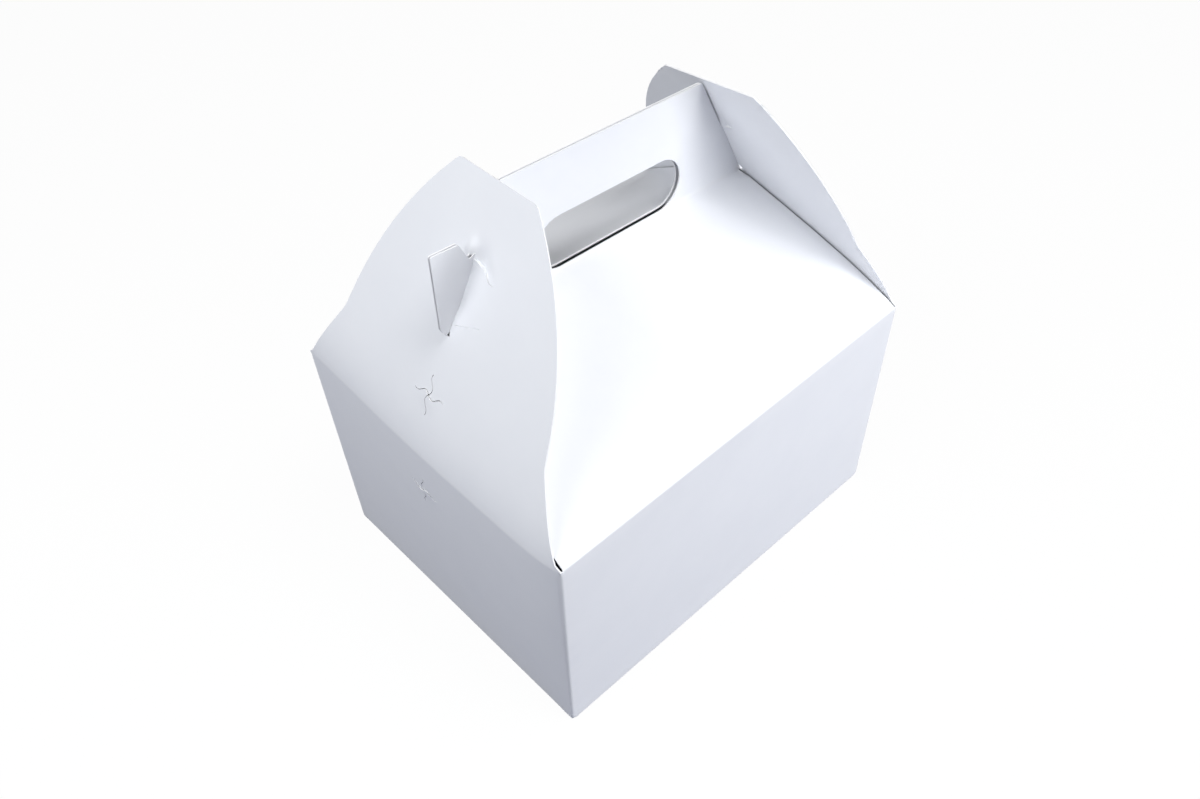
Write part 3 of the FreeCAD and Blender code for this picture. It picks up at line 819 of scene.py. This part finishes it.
def flap_holes(middle, laid_flat):
    """The slot for the tab, the slits that free its tongue, and the steam vent."""
    near, far = middle + SLOT_NEAR, middle + SLOT_FAR
    near_top, far_top = slit_height(UPPER_SLIT, [near, far])
    foot = [
        (near, SLOT_FOOT + NEAR_NICK[1]), (near - NEAR_NICK[0], SLOT_FOOT), (far, SLOT_FOOT),
        (far + FAR_NICK[0], SLOT_FOOT + FAR_NICK[1] / 2), (far, SLOT_FOOT + FAR_NICK[1]),
    ]
    slot = divided([*foot, (far, far_top), (near, near_top)], FINE_STEP, closed=True)
    slits = [ribbon(divided(line, FINE_STEP), SLIT) for line in (UPPER_SLIT, LOWER_SLIT)]
    cuts = [[laid_flat(x, y) for x, y in line] for line in (slot, *slits)]
    return [*cuts, vent(np.array(FLAP_VENT))]


def end_flap(turned):
    """The middle layer of an end flap, hooked over its tab."""
    sign = -1.0 if turned else 1.0
    middle = -RIGHT_SWAY if turned else LEFT_SWAY
    sway, stretch, tilt, widen = RIGHT_SET if turned else LEFT_SET

    def place(flat):
        flat_across, along = flat[:, 0], flat[:, 1]
        free = (along / FLAP_LENGTH) ** FREE_POWER
        across = flat_across * (1.0 + widen * free) + sway * free
        push = hook_push(across, along, middle) - vent_relief(flat, FLAP_VENT)
        reached = along + free * (stretch + tilt * flat_across)
        lean = np.interp(reached, LEAN_LENGTH, LEAN_ANGLE)
        slack = rim_slack(across) * np.exp(-along / RIM_BOW_FADE)
        run = np.interp(reached, LEAN_LENGTH, LEAN_RUN) - RIM_BOW * slack + push * np.cos(lean)
        rise = np.interp(reached, LEAN_LENGTH, LEAN_RISE) - RIM_DROP * slack - push * np.sin(lean)
        points = np.stack([-sign * (END_PLANE - run), sign * across, WALL_TOP + rise], -1)
        root_x, root_z = np.full(len(flat), -sign * END_PLANE), np.full(len(flat), WALL_TOP)
        root = np.stack([root_x, sign * across, root_z], -1)
        return points + corner_shift(root) * np.exp(-((along / ROOT_FADE) ** 2))[:, None]

    def laid_flat(x, y):
        """The flat sheet's point that place moves across to x."""
        free = (y / FLAP_LENGTH) ** FREE_POWER
        return (x - sway * free) / (1.0 + widen * free), y

    half = flap_half_outline()
    outline = divided(closed_outline(half, half), EDGE_STEP, closed=True)
    sheet = Sheet()
    sheet.panel(outline, place, worn_near([FLAP_WEAR]), holes=flap_holes(middle, laid_flat),
                lines=[level_line(WALL_PLANE - FLAP_LINE_INSET, row) for row in FLAP_ROWS],
                fine=[(TONGUE_BOX, FINE_STEP), (FLAP_VENT_BOX, FINE_STEP)],
                offset=(-sign * END_FLAP_OFFSET[0], END_FLAP_OFFSET[1]))
    return sheet


def node(tree, kind, **values):
    """A shader node with its settings and the numbers on its sockets."""
    made = tree.nodes.new(kind)
    for name, value in values.items():
        if hasattr(made, name):
            setattr(made, name, value)
        else:
            made.inputs[name.replace("_", " ")].default_value = value
    return made


def card_material():
    """White coated card: a faint mottle, fine fibres under a satin surface, and worn creases."""
    material = bpy.data.materials.new("white_card")
    material.use_nodes = True
    tree = material.node_tree
    shader = tree.nodes["Principled BSDF"]
    link = tree.links.new
    blank = node(tree, "ShaderNodeUVMap", uv_map="blank")
    mottle = node(tree, "ShaderNodeTexNoise", Scale=45.0, Detail=4.0, Roughness=0.6)
    fibres = node(tree, "ShaderNodeTexNoise", Scale=2600.0, Detail=5.0, Roughness=0.65)
    stretch = node(tree, "ShaderNodeMapping", Scale=(0.35, 1.0, 1.0))
    waves = node(tree, "ShaderNodeTexNoise", Scale=160.0, Detail=2.0)
    colour = node(tree, "ShaderNodeMix", data_type="RGBA")
    colour.inputs[FIRST].default_value = CARD_TONES[0]
    colour.inputs[SECOND].default_value = CARD_TONES[1]
    wear = node(tree, "ShaderNodeAttribute", attribute_name="wear")
    worn = node(tree, "ShaderNodeMix", data_type="RGBA")
    worn.inputs[SECOND].default_value = WORN_TONE
    wear_amount = node(tree, "ShaderNodeMath", operation="MULTIPLY")
    wear_amount.inputs[1].default_value = WEAR_SHARE
    gloss = node(tree, "ShaderNodeMapRange")
    gloss.inputs["To Min"].default_value = CARD_ROUGHNESS[0]
    gloss.inputs["To Max"].default_value = CARD_ROUGHNESS[1]
    bump_fine = node(tree, "ShaderNodeBump", Strength=0.12, Distance=0.00006)
    bump_wide = node(tree, "ShaderNodeBump", Strength=0.10, Distance=0.0004)
    link(blank.outputs[0], stretch.inputs["Vector"])
    link(stretch.outputs[0], fibres.inputs["Vector"])
    for texture in (mottle, waves):
        link(blank.outputs[0], texture.inputs["Vector"])
    link(mottle.outputs[0], colour.inputs[0])
    link(wear.outputs["Fac"], wear_amount.inputs[0])
    link(wear_amount.outputs[0], worn.inputs[0])
    link(colour.outputs[MIXED], worn.inputs[FIRST])
    link(worn.outputs[MIXED], shader.inputs["Base Color"])
    link(fibres.outputs[0], gloss.inputs[0])
    link(gloss.outputs[0], shader.inputs["Roughness"])
    link(waves.outputs[0], bump_wide.inputs["Height"])
    link(fibres.outputs[0], bump_fine.inputs["Height"])
    link(bump_wide.outputs[0], bump_fine.inputs["Normal"])
    link(bump_fine.outputs[0], shader.inputs["Normal"])
    shader.inputs["Specular IOR Level"].default_value = 0.35
    return material


def edge_material():
    """The cut edge of the card: rough fibre, a little brighter than the coated faces."""
    material = bpy.data.materials.new("cut_card_edge")
    material.use_nodes = True
    tree = material.node_tree
    shader = tree.nodes["Principled BSDF"]
    place = node(tree, "ShaderNodeTexCoord")
    fibres = node(tree, "ShaderNodeTexNoise", Scale=4200.0, Detail=4.0, Roughness=0.7)
    colour = node(tree, "ShaderNodeMix", data_type="RGBA")
    colour.inputs[FIRST].default_value = EDGE_TONES[0]
    colour.inputs[SECOND].default_value = EDGE_TONES[1]
    bump = node(tree, "ShaderNodeBump", Strength=0.3, Distance=0.0001)
    tree.links.new(place.outputs["Object"], fibres.inputs["Vector"])
    tree.links.new(fibres.outputs[0], colour.inputs[0])
    tree.links.new(colour.outputs[MIXED], shader.inputs["Base Color"])
    tree.links.new(fibres.outputs[0], bump.inputs["Height"])
    tree.links.new(bump.outputs[0], shader.inputs["Normal"])
    shader.inputs["Roughness"].default_value = 0.85
    shader.inputs["Specular IOR Level"].default_value = 0.2
    return material


FACES = [card_material(), edge_material()]


def make_carton():
    """The walls, bottom, roof and handle, folded from four panels and joined."""
    sheet = Sheet()
    for turned in (False, True):
        side_panel(sheet, turned)
        end_wall(sheet, turned, glued=turned)
    piece = sheet.thickened("carton_card", FACES)
    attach(piece, "carton")
    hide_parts("carton")


def make_end_flap(side, turned):
    """An end flap, leaning in from the rim crease."""
    piece = end_flap(turned).thickened(f"{side}_end_flap_card", FACES)
    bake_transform(piece)
    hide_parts(f"{side}_end_flap")


make_carton()
make_end_flap("left", turned=False)
make_end_flap("right", turned=True)


def seen_directly(tree):
    """A node that is 1 for rays from the camera and for reflected and passing ones, else 0."""
    rays = node(tree, "ShaderNodeLightPath")
    first = node(tree, "ShaderNodeMath", operation="MAXIMUM")
    second = node(tree, "ShaderNodeMath", operation="MAXIMUM")
    tree.links.new(rays.outputs["Is Camera Ray"], first.inputs[0])
    tree.links.new(rays.outputs["Is Glossy Ray"], first.inputs[1])
    tree.links.new(first.outputs[0], second.inputs[0])
    tree.links.new(rays.outputs["Is Transmission Ray"], second.inputs[1])
    return second


def floor_material():
    """Pale as the camera sees it, and dark enough for light rays not to brighten the object."""
    material = bpy.data.materials.new("floor")
    material.use_nodes = True
    tree = material.node_tree
    tree.nodes.clear()
    rays = seen_directly(tree)
    tone = node(tree, "ShaderNodeMix", data_type="RGBA")
    tone.inputs[FIRST].default_value = FLOOR_LIT
    tone.inputs[SECOND].default_value = FLOOR_SEEN
    paint = node(tree, "ShaderNodeBsdfDiffuse")
    tree.links.new(rays.outputs[0], tone.inputs[0])
    tree.links.new(tone.outputs[MIXED], paint.inputs["Color"])
    white = node(tree, "ShaderNodeEmission")
    white.inputs["Color"].default_value = WHITE
    share = node(tree, "ShaderNodeMath", operation="MULTIPLY")
    share.inputs[1].default_value = FLOOR_GLOW
    mix = node(tree, "ShaderNodeMixShader")
    out = node(tree, "ShaderNodeOutputMaterial")
    tree.links.new(rays.outputs[0], share.inputs[0])
    tree.links.new(share.outputs[0], mix.inputs[0])
    tree.links.new(paint.outputs[0], mix.inputs[1])
    tree.links.new(white.outputs[0], mix.inputs[2])
    tree.links.new(mix.outputs[0], out.inputs[0])
    return material


def make_floor():
    """A pale floor that keeps the object's soft shadow."""
    data = bpy.data.meshes.new("floor")
    half = FLOOR_SIZE / 2
    corners = [(-half, -half), (half, -half), (half, half), (-half, half)]
    data.from_pydata([(x, y, -FLOOR_DROP) for x, y in corners], [], [(0, 1, 2, 3)])
    floor = bpy.data.objects.new("floor", data)
    bpy.context.scene.collection.objects.link(floor)
    data.materials.append(floor_material())


def make_world():
    """White behind the object, and a plain soft light all round it."""
    world = bpy.data.worlds.new("studio")
    world.use_nodes = True
    bpy.context.scene.world = world
    tree = world.node_tree
    tree.nodes.clear()
    soft = node(tree, "ShaderNodeBackground")
    soft.inputs["Color"].default_value = AMBIENT_COLOUR
    soft.inputs["Strength"].default_value = AMBIENT
    white = node(tree, "ShaderNodeBackground")
    rays = seen_directly(tree)
    white.inputs["Color"].default_value = WHITE
    mix = node(tree, "ShaderNodeMixShader")
    out = node(tree, "ShaderNodeOutputWorld")
    tree.links.new(rays.outputs[0], mix.inputs[0])
    tree.links.new(soft.outputs[0], mix.inputs[1])
    tree.links.new(white.outputs[0], mix.inputs[2])
    tree.links.new(mix.outputs[0], out.inputs[0])


def make_lamp(name, direction, distance, size, power, colour):
    """A square soft lamp that looks at the middle of the box."""
    data = bpy.data.lights.new(name, "AREA")
    data.shape = "SQUARE"
    data.size = size
    data.energy = power
    data.color = colour
    lamp = bpy.data.objects.new(name, data)
    away = Vector(direction).normalized()
    lamp.location = Vector(LAMP_AIM) + away * distance
    lamp.rotation_euler = (-away).to_track_quat("-Z", "Y").to_euler()
    bpy.context.scene.collection.objects.link(lamp)


def make_camera():
    """The photograph's viewpoint, solved from the corners of the box."""
    data = bpy.data.cameras.new("camera")
    camera = bpy.data.objects.new("camera", data)
    bpy.context.scene.collection.objects.link(camera)
    data.sensor_width = SENSOR_WIDTH
    data.lens = data.sensor_width * FOCAL_PIXELS / IMAGE_WIDTH
    azimuth, pitch, roll = (math.radians(angle) for angle in CAMERA_TURNS)
    level = math.cos(pitch)
    forward = Vector((math.sin(azimuth) * level, math.cos(azimuth) * level, -math.sin(pitch)))
    turn = Matrix.Rotation(roll, 3, forward) @ forward.to_track_quat("-Z", "Y").to_matrix()
    camera.matrix_world = Matrix.Translation(Vector(CAMERA_PLACE) * MM) @ turn.to_4x4()
    bpy.context.scene.camera = camera


make_floor()
make_world()
for lamp_name, lamp_settings in LAMPS.items():
    make_lamp(lamp_name, *lamp_settings)
make_camera()
bpy.context.scene.view_settings.view_transform = "Standard"
